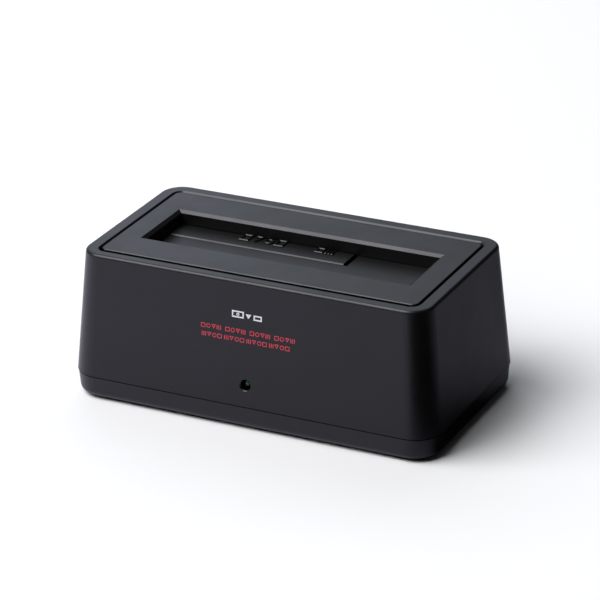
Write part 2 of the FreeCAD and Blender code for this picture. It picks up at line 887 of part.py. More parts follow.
def make_sata_connector():
    """The upright connector: one block with a long power slot and a short signal slot."""
    body = block(connector_x - connector_length / 2, connector_x + connector_length / 2,
                 connector_y - connector_width / 2, connector_y + connector_width / 2, board_top,
                 connector_top)
    slot_bottom = connector_top - contact_slot_depth
    half = contact_slot_width / 2
    for start, span in ((power_start, power_span), (signal_start, signal_span)):
        low = start - contact_slot_end
        high = start + span + contact_slot_end
        body = body.cut(block(low, high, connector_y - half, connector_y + half, slot_bottom,
                              connector_top + cut_margin))
        body = body.cut(block(low, low + contact_slot_width, connector_y - half - contact_key,
                              connector_y, slot_bottom, connector_top + cut_margin))
    return body.removeSplitter()


def make_sata_contacts():
    """Contact blades on the back wall of both slots."""
    blades = []
    back = connector_y + contact_slot_width / 2
    bottom = connector_top - contact_slot_depth
    for start, count in ((power_start, power_contacts), (signal_start, signal_contacts)):
        for index in range(count):
            x = start + index * contact_pitch
            blades.append(block(x - contact_width / 2, x + contact_width / 2, back - contact_thick,
                                back, bottom, connector_top - contact_thick))
    return blades


port_front = port_face - port_setback


def make_usb_shell():
    """The data socket's folded steel shell, open towards the back."""
    left = usb_x - usb_width / 2
    right = usb_x + usb_width / 2
    outer = block(left, right, port_front - usb_depth, port_front, board_top,
                  board_top + usb_height)
    inner = block(left + usb_sheet, right - usb_sheet, port_front - usb_depth + usb_sheet,
                  port_front + cut_margin, board_top + usb_sheet,
                  board_top + usb_height - usb_sheet)
    return outer.cut(inner)


def make_usb_insert():
    """The socket's plastic core: a mouth with two cut corners round a square tongue."""
    left = usb_x - usb_width / 2 + usb_sheet
    right = usb_x + usb_width / 2 - usb_sheet
    bottom = board_top + usb_sheet
    high = board_top + usb_height - usb_sheet
    core = block(left, right, port_front - usb_depth + usb_sheet, port_front, bottom, high)
    z_middle = board_top + usb_height / 2
    half_w = usb_mouth_width / 2
    half_h = usb_mouth_height / 2
    y0 = port_front - usb_mouth_depth
    mouth = [
        vec(usb_x - half_w, y0, z_middle - half_h),
        vec(usb_x + half_w, y0, z_middle - half_h),
        vec(usb_x + half_w, y0, z_middle + half_h - usb_mouth_corner),
        vec(usb_x + half_w - usb_mouth_corner, y0, z_middle + half_h),
        vec(usb_x - half_w + usb_mouth_corner, y0, z_middle + half_h),
        vec(usb_x - half_w, y0, z_middle + half_h - usb_mouth_corner),
    ]
    core = core.cut(polygon_prism(mouth, vec(0, usb_mouth_depth + cut_margin, 0)))
    tongue = block(usb_x - usb_tongue_width / 2, usb_x + usb_tongue_width / 2, y0 - cut_margin,
                   y0 + usb_tongue_length, z_middle - usb_tongue_height / 2,
                   z_middle + usb_tongue_height / 2)
    return fused([core, tongue])


def make_usb_contacts():
    """Four contact blades, two on the tongue's upper face and two on its lower face."""
    blades = []
    z_middle = board_top + usb_height / 2
    y0 = port_front - usb_mouth_depth
    y1 = y0 + usb_tongue_length - usb_contact_setback
    upper = z_middle + usb_tongue_height / 2
    lower = z_middle - usb_tongue_height / 2
    for side in (-1, 1):
        x = usb_x + side * usb_contact_spacing / 2
        left = x - usb_contact_width / 2
        right = x + usb_contact_width / 2
        blades.append(block(left, right, y0, y1, upper, upper + usb_contact_thick))
        blades.append(block(left, right, y0, y1, lower - usb_contact_thick, lower))
    return blades


jack_front = port_inner - spring_seat_gap
jack_axis_z = board_top + jack_axis_above_board


def make_dc_jack():
    """The power inlet's block with its round bore."""
    body = block(jack_x - jack_width / 2, jack_x + jack_width / 2, jack_front - jack_depth,
                 jack_front, board_top, board_top + jack_height)
    bore = rod(jack_bore_radius, vec(jack_x, jack_front - jack_bore_depth, jack_axis_z), Y_AXIS,
               jack_bore_depth + cut_margin)
    return body.cut(bore)


def make_dc_jack_pin():
    """The inlet's centre pin, with a domed tip."""
    root = jack_front - jack_bore_depth
    length = jack_bore_depth - jack_pin_setback - jack_pin_radius
    shaft = rod(jack_pin_radius, vec(jack_x, root, jack_axis_z), Y_AXIS, length)
    tip = Part.makeSphere(jack_pin_radius, vec(jack_x, root + length, jack_axis_z))
    return fused([shaft, tip])


switch_z = board_top + switch_height / 2
rocker_pivot_y = port_front - rocker_pivot_setback


def make_switch_body():
    """The switch's box with the rocker's cavity and its two pivot holes."""
    body = block(switch_x - switch_width / 2, switch_x + switch_width / 2,
                 port_front - switch_depth, port_front, board_top, board_top + switch_height)
    cavity = block(
        switch_x - switch_cavity_width / 2,
        switch_x + switch_cavity_width / 2,
        rocker_pivot_y - rocker_below_pivot - 2 * rocker_pin_radius,
        port_front + cut_margin,
        switch_z - switch_cavity_height / 2,
        switch_z + switch_cavity_height / 2,
    )
    reach = switch_cavity_height / 2 + rocker_pin_length
    pivot = rod(rocker_pin_radius + hinge_clearance,
                vec(switch_x, rocker_pivot_y, switch_z - reach), Z_AXIS, 2 * reach)
    return body.cut(cavity).cut(pivot)


def make_switch_rocker():
    """The rocker: a round-ended key with a shallow V face, stored in its off position."""
    half = rocker_height / 2
    disc = rod(rocker_radius, vec(switch_x, rocker_pivot_y, switch_z - half), Z_AXIS,
               rocker_height)
    rise = rocker_radius * math.tan(math.radians(rocker_tilt))
    low = rocker_pivot_y - rocker_below_pivot
    middle = rocker_pivot_y + rocker_rise
    z0 = switch_z - half
    outline = [
        vec(switch_x - rocker_radius, low, z0),
        vec(switch_x + rocker_radius, low, z0),
        vec(switch_x + rocker_radius, middle + rise, z0),
        vec(switch_x, middle, z0),
        vec(switch_x - rocker_radius, middle + rise, z0),
    ]
    key = polygon_prism(outline, vec(0, 0, rocker_height)).common(disc)
    reach = half + rocker_pin_length
    pivot = rod(rocker_pin_radius, vec(switch_x, rocker_pivot_y, switch_z - reach), Z_AXIS,
                2 * reach)
    rocker = fused([key, pivot])
    rocker.rotate(vec(switch_x, rocker_pivot_y, switch_z), Z_AXIS, -rocker_tilt)
    return rocker


lamp_tip_y = -casing_half_width(lamp_z) + lamp_dome_recess
lamp_centre_y = lamp_tip_y + lamp_radius
lamp_flange_y = lamp_centre_y + lamp_barrel_length
lamp_back_y = lamp_flange_y + lamp_flange_thick


def make_indicator_lamp():
    """The lamp's lens: a dome, a barrel and a flange in one moulding."""
    dome = Part.makeSphere(lamp_radius, vec(lamp_x, lamp_centre_y, lamp_z))
    barrel = rod(lamp_radius, vec(lamp_x, lamp_centre_y, lamp_z), Y_AXIS, lamp_barrel_length)
    flange = rod(lamp_flange_radius, vec(lamp_x, lamp_flange_y, lamp_z), Y_AXIS,
                 lamp_flange_thick)
    return fused([dome, barrel, flange])


def make_lamp_holder():
    """The block on the board that carries the lamp at the height of its hole."""
    half = lamp_holder_width / 2
    holder = block(lamp_x - half, lamp_x + half, lamp_back_y, lamp_back_y + lamp_holder_depth,
                   board_top, lamp_z + lamp_holder_above_axis)
    for side in (-1, 1):
        x = lamp_x + side * lamp_lead_spacing / 2
        holder = holder.cut(rod(lamp_lead_radius + screw_clearance,
                                vec(x, lamp_back_y - cut_margin, lamp_z), Y_AXIS,
                                lamp_holder_depth + 2 * cut_margin))
    return holder


def make_lamp_leads():
    """Two wires, back through the holder and down to the board."""
    leads = []
    bend_y = lamp_back_y + lamp_holder_depth + lamp_lead_behind
    for side in (-1, 1):
        x = lamp_x + side * lamp_lead_spacing / 2
        across = rod(lamp_lead_radius, vec(x, lamp_back_y, lamp_z), Y_AXIS, bend_y - lamp_back_y)
        knee = Part.makeSphere(lamp_lead_radius, vec(x, bend_y, lamp_z))
        down = rod(lamp_lead_radius, vec(x, bend_y, board_top), Z_AXIS, lamp_z - board_top)
        leads.append(fused([across, knee, down]))
    return leads


def pan_screw(x, y, z_head, shank_radius, shank_length, head_radius, head_height):
    """A pan-head screw driven upwards, its head below z_head, with a cross recess."""
    shank = rod(shank_radius, vec(x, y, z_head), Z_AXIS, shank_length)
    head = rod(head_radius, vec(x, y, z_head - head_height), Z_AXIS, head_height)
    head = head.makeChamfer(head_height * head_bevel_share,
                            edges_at_height(head, z_head - head_height))
    screw = fused([shank, head])
    arm = head_radius * cross_arm_share
    reach = head_radius * cross_reach_share
    low = z_head - head_height - cut_margin
    high = z_head - head_height * (1 - cross_depth_share)
    screw = screw.cut(block(x - reach, x + reach, y - arm, y + arm, low, high))
    return screw.cut(block(x - arm, x + arm, y - reach, y + reach, low, high))


def make_base_screws():
    """Four screws from below, through the base into the casing's columns."""
    seat = foot_stand + base_boss_floor + screw_head_height / 2
    length = seam - seat + screw_bite
    return [
        pan_screw(x, y, seat, screw_radius, length, screw_head_radius, screw_head_height)
        for x, y in four_corners(screw_x, screw_y)
    ]


def make_board_screws():
    """Four screws from above, through the board into the base's posts."""
    screws = []
    length = board_thick + small_screw_bite - small_pilot_spare
    for x, y in four_corners(board_screw_x, board_screw_y):
        screw = pan_screw(x, y, board_top, small_screw_radius, length, small_screw_head_radius,
                          small_screw_head_height)
        screw.rotate(vec(x, y, board_top), X_AXIS, 180)
        screws.append(screw)
    return screws


def make_panel_screws():
    """Four screws from below, through the casing's tabs into the panel's bosses."""
    seat = panel_bottom - panel_boss_height - panel_tab_thick
    length = panel_tab_thick + small_screw_bite
    return [
        pan_screw(x, y, seat, small_screw_radius, length, small_screw_head_radius,
                  small_screw_head_height)
        for x, y in four_corners(panel_boss_x, panel_boss_y)
    ]


def make_cradle_screws():
    """Four screws from below, through the cradle's tabs into the panel's long bosses."""
    seat = cradle_top - cradle_tab_thick
    length = cradle_tab_thick + small_screw_bite
    return [
        pan_screw(x, y, seat, small_screw_radius, length, small_screw_head_radius,
                  small_screw_head_height)
        for x, y in cradle_screw_places
    ]


def make_rubber_feet():
    """Four rubber discs, set into the base and standing a little below it."""
    feet = []
    for x, y in four_corners(screw_x - foot_from_screw, screw_y):
        foot = rod(foot_radius, vec(x, y, 0.0), Z_AXIS, foot_stand + foot_recess_depth)
        feet.append(foot.makeChamfer(foot_bevel, edges_at_height(foot, 0.0)))
    return feet


def make_capacitors():
    """Two upright cans on square feet."""
    cans = []
    for index in range(2):
        x = regulator_x + can_spacing * (index + 1)
        z = board_top + can_base_height
        foot = block(x - can_radius, x + can_radius, front_parts_y - can_radius,
                     front_parts_y + can_radius, board_top, z)
        can = rod(can_radius, vec(x, front_parts_y, z), Z_AXIS, can_height - can_base_height)
        can = can.makeFillet(can_edge_round, edges_at_height(can, board_top + can_height))
        cans.append(fused([foot, can]))
    return cans


def make_crystal():
    """The clock crystal's flat can, with round ends."""
    radius = crystal_width / 2
    end = crystal_length / 2 - radius
    pieces = [block(crystal_x - end, crystal_x + end, front_parts_y - radius,
                    front_parts_y + radius, board_top, board_top + crystal_height)]
    for x in (crystal_x - end, crystal_x + end):
        pieces.append(rod(radius, vec(x, front_parts_y, board_top), Z_AXIS, crystal_height))
    return fused(pieces)


def board_part(x, y, size, height):
    """A square part with bevelled top edges, standing on the board."""
    part = block(x - size / 2, x + size / 2, y - size / 2, y + size / 2, board_top,
                 board_top + height)
    return part.makeChamfer(height * board_part_bevel_share,
                            edges_at_height(part, board_top + height))


save("upper_housing", make_upper_housing())
save("top_panel", make_top_panel())
save("base_cover", make_base_cover())
save("large_shutter", make_large_shutter())
save("small_shutter", make_small_shutter())
large_pin_start = vec(-slot_end - throat_wall, large_hinge_y, large_hinge_z)
save("large_shutter_pin", rod(pin_radius, large_pin_start, X_AXIS, slot_length + 2 * throat_wall))
small_pin_start = vec(-slot_end - throat_wall, small_hinge_y, small_hinge_z)
small_pin_length = small_shutter_end + shutter_clearance + slot_end + 2 * throat_wall
save("small_shutter_pin", rod(pin_radius, small_pin_start, X_AXIS, small_pin_length))
door_left = -slot_end + shutter_clearance
large_spring_x = door_left + large_spring_from_end + spring_side_gap
small_spring_x = door_left + small_spring_from_end + spring_side_gap
save("large_shutter_spring", make_spring(large_spring_x, large_hinge_y, large_hinge_z, 1))
save("small_shutter_spring", make_spring(small_spring_x, small_hinge_y, small_hinge_z, -1))
save("drive_cradle", make_drive_cradle())
save("main_board", make_main_board())
save("sata_connector", make_sata_connector())
save("sata_contacts", make_sata_contacts())
save("bridge_chip", board_part(chip_x, chip_y, chip_size, chip_height))
save("power_regulator", board_part(regulator_x, front_parts_y, regulator_size, regulator_height))
save("power_inductor", board_part(inductor_x, front_parts_y, inductor_size, inductor_height))
save("capacitors", make_capacitors())
save("crystal", make_crystal())
save("usb_shell", make_usb_shell())
save("usb_insert", make_usb_insert())
save("usb_contacts", make_usb_contacts())
save("dc_jack", make_dc_jack())
save("dc_jack_pin", make_dc_jack_pin())
save("switch_body", make_switch_body())
save("switch_rocker", make_switch_rocker())
save("indicator_lamp", make_indicator_lamp())
save("lamp_holder", make_lamp_holder())
save("lamp_leads", make_lamp_leads())
save("rubber_feet", make_rubber_feet())
save("base_screws", make_base_screws())
save("board_screws", make_board_screws())
save("panel_screws", make_panel_screws())
save("cradle_screws", make_cradle_screws())
print("height", round(top, 2), "at the parting line", round(seam_length, 2), round(seam_width, 2))
print("rim", round(rim_length, 2), round(rim_width, 2), "lamp", round(lamp_tip_y, 2), lamp_z)
print("large hinge", large_hinge_y, large_hinge_z, "small hinge", small_hinge_y, small_hinge_z)
print("rocker pivot", switch_x, rocker_pivot_y, switch_z, "drive stop", drive_stop)
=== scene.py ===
import json
import math

import bpy
from mathutils import Matrix, Vector


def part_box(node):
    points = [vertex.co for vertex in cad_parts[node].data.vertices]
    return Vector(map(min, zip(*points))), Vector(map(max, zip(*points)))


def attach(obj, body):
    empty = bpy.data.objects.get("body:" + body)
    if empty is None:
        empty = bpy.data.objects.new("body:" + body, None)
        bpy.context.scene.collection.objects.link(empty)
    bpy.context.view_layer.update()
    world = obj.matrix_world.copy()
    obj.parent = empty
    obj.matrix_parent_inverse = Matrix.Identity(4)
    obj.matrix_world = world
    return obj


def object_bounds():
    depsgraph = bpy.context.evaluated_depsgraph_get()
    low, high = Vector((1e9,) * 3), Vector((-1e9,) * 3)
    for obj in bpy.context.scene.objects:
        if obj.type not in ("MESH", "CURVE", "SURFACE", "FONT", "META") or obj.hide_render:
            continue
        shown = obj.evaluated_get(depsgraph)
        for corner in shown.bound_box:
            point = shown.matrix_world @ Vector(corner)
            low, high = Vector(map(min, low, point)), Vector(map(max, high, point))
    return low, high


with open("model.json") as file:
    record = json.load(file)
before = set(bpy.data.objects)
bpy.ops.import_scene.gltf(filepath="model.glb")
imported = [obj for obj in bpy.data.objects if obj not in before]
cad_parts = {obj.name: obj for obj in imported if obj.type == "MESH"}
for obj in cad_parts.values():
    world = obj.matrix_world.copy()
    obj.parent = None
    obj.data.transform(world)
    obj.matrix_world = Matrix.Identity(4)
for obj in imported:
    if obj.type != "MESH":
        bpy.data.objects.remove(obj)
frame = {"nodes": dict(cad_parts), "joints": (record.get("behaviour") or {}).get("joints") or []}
nodes = frame["nodes"]
cad_low, cad_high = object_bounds()
millimetre = 0.001


# Camera
# It stands at the photograph's viewing angle: a long lens about a metre off, right of the front and
# above it. The roll is the small tilt of the photograph's own camera.
camera_place = Vector((0.44463, -0.89679, 0.47834))
camera_azimuth = math.radians(26.231)
camera_elevation = math.radians(23.92)
camera_roll = math.radians(-0.919)
camera_lens = 184.0
quarter_turn = math.radians(90)

aim = (
    Matrix.Rotation(camera_azimuth, 3, "Z")
    @ Matrix.Rotation(quarter_turn - camera_elevation, 3, "X")
    @ Matrix.Rotation(camera_roll, 3, "Z")
)
bpy.ops.object.camera_add(location=camera_place, rotation=aim.to_euler())
camera = bpy.context.object
camera.data.lens = camera_lens
camera.data.clip_start, camera.data.clip_end = 0.05, 20.0
bpy.context.scene.camera = camera
bpy.context.scene.view_settings.view_transform = "Standard"


# Floor
# A plain white table top, which keeps the object's soft shadow.
# Camera and mirror rays see it a little lighter than the lamps make it, but not close to the object.
floor_radius = 4.0
floor_colour = (0.80, 0.80, 0.815, 1)
floor_lift = 0.08
lift_starts, lift_full = 0.07, 0.17


def stage_surface(name, colour):
    """A dull plain material for what isn't part of the object."""
    material = bpy.data.materials.new(name)
    material.use_nodes = True
    surface = material.node_tree.nodes["Principled BSDF"]
    surface.inputs["Base Color"].default_value = colour
    surface.inputs["Roughness"].default_value = 1.0
    surface.inputs["Specular IOR Level"].default_value = 0.0
    return material


def lifted(material, strength):
    """Adds that much white to what camera, mirror and glass rays see, away from the object."""
    tree = material.node_tree
    surface = tree.nodes["Principled BSDF"]
    rays = tree.nodes.new("ShaderNodeLightPath")
    seen = rays.outputs["Is Camera Ray"]
    for kind in ("Is Glossy Ray", "Is Transmission Ray"):
        total = tree.nodes.new("ShaderNodeMath")
        total.operation = "MAXIMUM"
        tree.links.new(seen, total.inputs[0])
        tree.links.new(rays.outputs[kind], total.inputs[1])
        seen = total.outputs["Value"]
    place = tree.nodes.new("ShaderNodeTexCoord")
    reach = tree.nodes.new("ShaderNodeVectorMath")
    reach.operation = "LENGTH"
    tree.links.new(place.outputs["Object"], reach.inputs[0])
    rise = tree.nodes.new("ShaderNodeMapRange")
    rise.interpolation_type = "SMOOTHSTEP"
    rise.inputs["From Min"].default_value = lift_starts
    rise.inputs["From Max"].default_value = lift_full
    rise.inputs["To Max"].default_value = strength
    tree.links.new(reach.outputs["Value"], rise.inputs["Value"])
    amount = tree.nodes.new("ShaderNodeMath")
    amount.operation = "MULTIPLY"
    tree.links.new(seen, amount.inputs[0])
    tree.links.new(rise.outputs["Result"], amount.inputs[1])
    surface.inputs["Emission Color"].default_value = (1, 1, 1, 1)
    tree.links.new(amount.outputs["Value"], surface.inputs["Emission Strength"])
    return material


bpy.ops.mesh.primitive_circle_add(vertices=96, radius=floor_radius, fill_type="NGON")
floor = bpy.context.object
floor.name = "floor"
floor.data.materials.append(lifted(stage_surface("white_floor", floor_colour), floor_lift))


# Studio light
# A large soft box stands high at the front left. Two dim ones stand low at the back left, which the
# top mirrors, and a third hangs above the back. The room's own light is low and even.
object_middle = (cad_low + cad_high) / 2
room_light = (0.02, 0.02, 0.02, 1)
cool = (0.90, 0.98, 1.12)
faintly_cool = (0.95, 1.0, 1.04)


def soft_box(name, toward, distance, width, height, brightness, colour=(1, 1, 1)):
    """A rectangular lamp that faces the object from one side, unseen by the camera itself."""
    toward = Vector(toward).normalized()
    turn = toward.to_track_quat("Z", "Y").to_euler()
    bpy.ops.object.light_add(type="AREA", location=object_middle + toward * distance, rotation=turn)
    lamp = bpy.context.object
    lamp.name = name
    lamp.data.shape = "RECTANGLE"
    lamp.data.size = width
    lamp.data.size_y = height
    lamp.data.energy = brightness * math.pi * width * height
    lamp.data.color = colour
    lamp.visible_camera = False


soft_box("key_light", (-0.404, -0.397, 0.812), distance=2.4, width=1.9, height=1.9, brightness=7.7)
soft_box(
    "back_left_light",
    (-0.75, 0.62, 0.42),
    distance=2.0,
    width=1.6,
    height=1.3,
    brightness=0.65,
    colour=cool,
)
soft_box(
    "back_light",
    (-0.404, 0.82, 0.41),
    distance=1.2,
    width=0.5,
    height=0.5,
    brightness=0.63,
    colour=cool,
)
soft_box(
    "over_back_light",
    (-0.2, 0.5, 0.84),
    distance=1.5,
    width=1.0,
    height=1.0,
    brightness=1.25,
    colour=faintly_cool,
)
world = bpy.data.worlds.new("room")
world.use_nodes = True
world.node_tree.nodes["Background"].inputs["Color"].default_value = room_light
bpy.context.scene.world = world


# Gloss cards
# Two cards lie on the floor, where only gloss sees them; both are painted reflections. A cool white one
# gives the sides a painted blue cast in their reflections. A dark one at the right is a painted dark
# reflection that darkens the right end and the corner, and fades out to the left.
cool_card_colour = (0.82, 0.795, 0.925, 1)
cards_reach = 1.60
cool_card_height, shade_card_height = 0.3 * millimetre, 0.5 * millimetre
fade_from, fade_bend, fade_until = -0.10, 0.055, 0.095
fade_bend_cover = 0.12
card_dark = (0.015, 0.014, 0.017)
card_pale = (0.20, 0.192, 0.226)
card_dark_until, card_pale_from = 0.068, 0.124
card_slant = 0.8
slant_until = 0.105
beside_band = (0.069, 0.072, 0.100, 0.110)
past_corner_band = (-0.050, -0.030, 0.015, 0.055)


def only(piece):
    """Makes a piece the one that is selected and active."""
    bpy.ops.object.select_all(action="DESELECT")
    piece.select_set(True)
    bpy.context.view_layer.objects.active = piece


def settle(piece):
    """Puts a piece's place, turn and size into its mesh."""
    only(piece)
    bpy.ops.object.transform_apply(location=True, rotation=True, scale=True)


def tone(tree, value, dark, light):
    """A colour between two, by a value from 0 to 1."""
    mix = tree.nodes.new("ShaderNodeMix")
    mix.data_type = "RGBA"
    mix.inputs["A"].default_value = (*dark, 1)
    mix.inputs["B"].default_value = (*light, 1)
    tree.links.new(value, mix.inputs["Factor"])
    return mix.outputs["Result"]


def ramp(tree, value, from_value, to_value):
    """A value that rises from 0 at one place to 1 at another."""
    rise = tree.nodes.new("ShaderNodeMapRange")
    rise.inputs["From Min"].default_value = from_value
    rise.inputs["From Max"].default_value = to_value
    tree.links.new(value, rise.inputs["Value"])
    return rise.outputs["Result"]


def combined(tree, operation, first, second):
    """Two values multiplied, or the larger of them."""
    pair = tree.nodes.new("ShaderNodeMath")
    pair.operation = operation
    tree.links.new(first, pair.inputs[0])
    tree.links.new(second, pair.inputs[1])
    return pair.outputs["Value"]


def band(tree, value, stops):
    """A value that is 1 between the middle two places and falls to 0 at the outer two."""
    rise = ramp(tree, value, stops[0], stops[1])
    fall = ramp(tree, value, stops[3], stops[2])
    return combined(tree, "MULTIPLY", rise, fall)


def gloss_card(name, left, height, material):
    """A card flat on the floor, from its left edge to the cards' reach, that only mirror rays see."""
    bpy.ops.mesh.primitive_plane_add(size=1)
    card = bpy.context.object
    card.name = name
    card.scale = (cards_reach - left, 2 * cards_reach, 1)
    card.location = ((cards_reach + left) / 2, 0, height)
    settle(card)
    card.data.materials.append(material)
    card.visible_camera = False
    card.visible_diffuse = False
    card.visible_transmission = False
    card.visible_shadow = False


# The cool card is a painted reflection: its blue tint shows only in the object's gloss, not on the floor.
cool_material = lifted(stage_surface("cool_card", cool_card_colour), floor_lift)
gloss_card("cool_card", -cards_reach, cool_card_height, cool_material)
# The dark card is a painted dark reflection. Its colour below is a painted shadow: darkest close to the
# object's right side and toward the front, paler further out and toward the back.
card_material = stage_surface("shade_card", (0, 0, 0, 1))
tree = card_material.node_tree
place = tree.nodes.new("ShaderNodeTexCoord")
parts = tree.nodes.new("ShaderNodeSeparateXYZ")
tree.links.new(place.outputs["Object"], parts.inputs["Vector"])
along = ramp(tree, parts.outputs["X"], fade_from, fade_until)
fade = tree.nodes.new("ShaderNodeValToRGB")
bend_stop = fade.color_ramp.elements.new((fade_bend - fade_from) / (fade_until - fade_from))
bend_stop.color = (fade_bend_cover, fade_bend_cover, fade_bend_cover, 1)
tree.links.new(along, fade.inputs["Fac"])
beside = band(tree, parts.outputs["X"], beside_band)
past_corner = band(tree, parts.outputs["Y"], past_corner_band)
near_end = combined(tree, "MULTIPLY", beside, past_corner)
cover = combined(tree, "MAXIMUM", fade.outputs["Color"], near_end)
tree.links.new(cover, tree.nodes["Principled BSDF"].inputs["Alpha"])
near_x = tree.nodes.new("ShaderNodeMath")
near_x.operation = "MINIMUM"
near_x.inputs[1].default_value = slant_until
tree.links.new(parts.outputs["X"], near_x.inputs[0])
slanted = tree.nodes.new("ShaderNodeMath")
slanted.operation = "MULTIPLY_ADD"
slanted.inputs[1].default_value = card_slant
tree.links.new(near_x.outputs["Value"], slanted.inputs[0])
tree.links.new(parts.outputs["Y"], slanted.inputs[2])
backward = ramp(tree, slanted.outputs["Value"], card_dark_until, card_pale_from)
card_colour = tone(tree, backward, card_dark, card_pale)
tree.links.new(card_colour, tree.nodes["Principled BSDF"].inputs["Base Color"])
gloss_card("shade_card", fade_from, shade_card_height, card_material)


# Casing
# The drafted outer shell is one injection moulding in black ABS. Its mould was spark-eroded, which
# gives it a fine even satin grain.
casing_colour = (0.0020, 0.0018, 0.0018)
plastic_ior = 1.44
plastic_tint = (0.93, 0.93, 1.0, 1)
casing_gloss = 0.36
fine_grain = 0.28 * millimetre
grain_depth = 0.0035 * millimetre
cloud_size, shine_size = 30 * millimetre, 12 * millimetre
shine_change = 0.02
noise_middle_from, noise_middle_to = 0.35, 0.65


def noise_texture(tree, size, detail=3.0):
    """A noise of about that grain size in metres, fixed to the piece."""
    place = tree.nodes.new("ShaderNodeTexCoord")
    noise = tree.nodes.new("ShaderNodeTexNoise")
    noise.inputs["Scale"].default_value = 1 / size
    noise.inputs["Detail"].default_value = detail
    tree.links.new(place.outputs["Object"], noise.inputs["Vector"])
    return noise.outputs["Fac"]


def spread(tree, value, low, high):
    """Stretches the middle of a noise to the range from low to high."""
    stretch = tree.nodes.new("ShaderNodeMapRange")
    stretch.inputs["From Min"].default_value = noise_middle_from
    stretch.inputs["From Max"].default_value = noise_middle_to
    stretch.inputs["To Min"].default_value = low
    stretch.inputs["To Max"].default_value = high
    tree.links.new(value, stretch.inputs["Value"])
    return stretch.outputs["Result"]


def scaled(colour, share):
    """A colour made darker or lighter."""
    return tuple(channel * share for channel in colour)


def moulded_plastic(name, colour, gloss, grain=fine_grain, depth=grain_depth, uneven=0.12):
    """Moulded plastic: a fine eroded grain, with slow changes of tone and gloss over the piece."""
    material = bpy.data.materials.new(name)
    material.use_nodes = True
    tree = material.node_tree
    surface = tree.nodes["Principled BSDF"]
    surface.inputs["IOR"].default_value = plastic_ior
    surface.inputs["Specular Tint"].default_value = plastic_tint
    cloud = spread(tree, noise_texture(tree, cloud_size), 0.0, 1.0)
    colours = tone(tree, cloud, scaled(colour, 1 - uneven), scaled(colour, 1 + uneven))
    tree.links.new(colours, surface.inputs["Base Color"])
    shine = spread(tree, noise_texture(tree, shine_size), gloss - shine_change, gloss + shine_change)
    tree.links.new(shine, surface.inputs["Roughness"])
    bump = tree.nodes.new("ShaderNodeBump")
    bump.inputs["Distance"].default_value = depth
    tree.links.new(noise_texture(tree, grain, 2.0), bump.inputs["Height"])
    tree.links.new(bump.outputs["Normal"], surface.inputs["Normal"])
    return material


def finish_node(node, material):
    """Gives a CAD node its finish."""
    for slot in nodes[node].material_slots:
        slot.material = material


casing_plastic = moulded_plastic("casing_plastic", casing_colour, casing_gloss)
finish_node("upper_housing", casing_plastic)


# Front print
# Two red rows and a light grey mark are pad-printed on the front. Plain drive signs stand there:
# outlines, platters, wedges and bars, in the size of the print.
print_red = (0.56, 0.036, 0.062)
print_grey = (0.68, 0.68, 0.74)
ink_thick = 0.03 * millimetre
sign_height = 1.62 * millimetre
sign_line = 0.25 * millimetre
row_pitch = 2.05 * millimetre
sign_width = row_pitch - 0.35 * millimetre
row_groups = 4
upper_row_gap, lower_row_gap = 1.32 * millimetre, 0.55 * millimetre
upper_row_place = (0.6 * millimetre, 37.1 * millimetre)
lower_row_place = (-0.2 * millimetre, 34.0 * millimetre)
grey_mark_place = (0.2 * millimetre, 43.25 * millimetre)
grey_line = 0.5 * millimetre
grey_drive_length, grey_drive_height = 4.6 * millimetre, 2.5 * millimetre
grey_drive_middle = -3.5 * millimetre
hub_width, hub_line = 1.2 * millimetre, 0.35 * millimetre
arrow_width, arrow_height = 2.2 * millimetre, 1.6 * millimetre
arrow_place = (0.6 * millimetre, -0.2 * millimetre, 0)
grey_small_length, grey_small_height = 3.2 * millimetre, 1.9 * millimetre
grey_small_place = (4.2 * millimetre, -0.3 * millimetre, 0)


def joined(name, pieces):
    """One object from several."""
    only(pieces[0])
    for piece in pieces[1:]:
        piece.select_set(True)
    if len(pieces) > 1:
        bpy.ops.object.join()
    whole = bpy.context.object
    whole.name = name
    settle(whole)
    return whole


def hollowed(line):
    """Leaves a band of that width round the edge of the selected flat face."""
    bpy.ops.object.mode_set(mode="EDIT")
    bpy.ops.mesh.select_all(action="SELECT")
    bpy.ops.mesh.inset(thickness=line)
    bpy.ops.mesh.delete(type="FACE")
    bpy.ops.object.mode_set(mode="OBJECT")


def flat_plate(width, height):
    """A flat rectangle round the origin."""
    bpy.ops.mesh.primitive_plane_add(size=1)
    plate = bpy.context.object
    plate.scale = (width, height, 1)
    settle(plate)
    return plate


def drive_sign(width, height, line):
    """A drive seen from its side: a rectangle's outline."""
    sign = flat_plate(width, height)
    hollowed(line)
    return sign


def platter_sign(width, height, line):
    """A platter: a ring."""
    bpy.ops.mesh.primitive_circle_add(vertices=32, radius=min(width, height) / 2, fill_type="NGON")
    sign = bpy.context.object
    hollowed(line)
    return sign


def wedge_sign(width, height, line):
    """A wedge that points down, in outline: the plate's lower edge is drawn together to one point."""
    sign = flat_plate(width, height)
    bpy.ops.object.mode_set(mode="EDIT")
    bpy.ops.mesh.select_all(action="DESELECT")
    bpy.ops.object.mode_set(mode="OBJECT")
    for vertex in sign.data.vertices:
        vertex.select = vertex.co.y < 0
    bpy.ops.object.mode_set(mode="EDIT")
    bpy.ops.mesh.merge(type="CENTER")
    bpy.ops.object.mode_set(mode="OBJECT")
    hollowed(line)
    return sign


def bars_sign(width, height, line):
    """Three upright bars, one and its two copies."""
    bar_width = line * 1.2
    step = (width - bar_width) / 2
    bar = flat_plate(bar_width, height)
    row = bar.modifiers.new("row", "ARRAY")
    row.count = 3
    row.use_relative_offset = False
    row.use_constant_offset = True
    row.constant_offset_displace = (step, 0, 0)
    only(bar)
    bpy.ops.object.modifier_apply(modifier="row")
    bar.location.x = -step
    settle(bar)
    return bar


def placed_copy(model, x):
    """A copy of a flat sign, with a mesh of its own, moved to x."""
    copy = model.copy()
    copy.data = model.data.copy()
    bpy.context.scene.collection.objects.link(copy)
    copy.location.x = x
    return copy


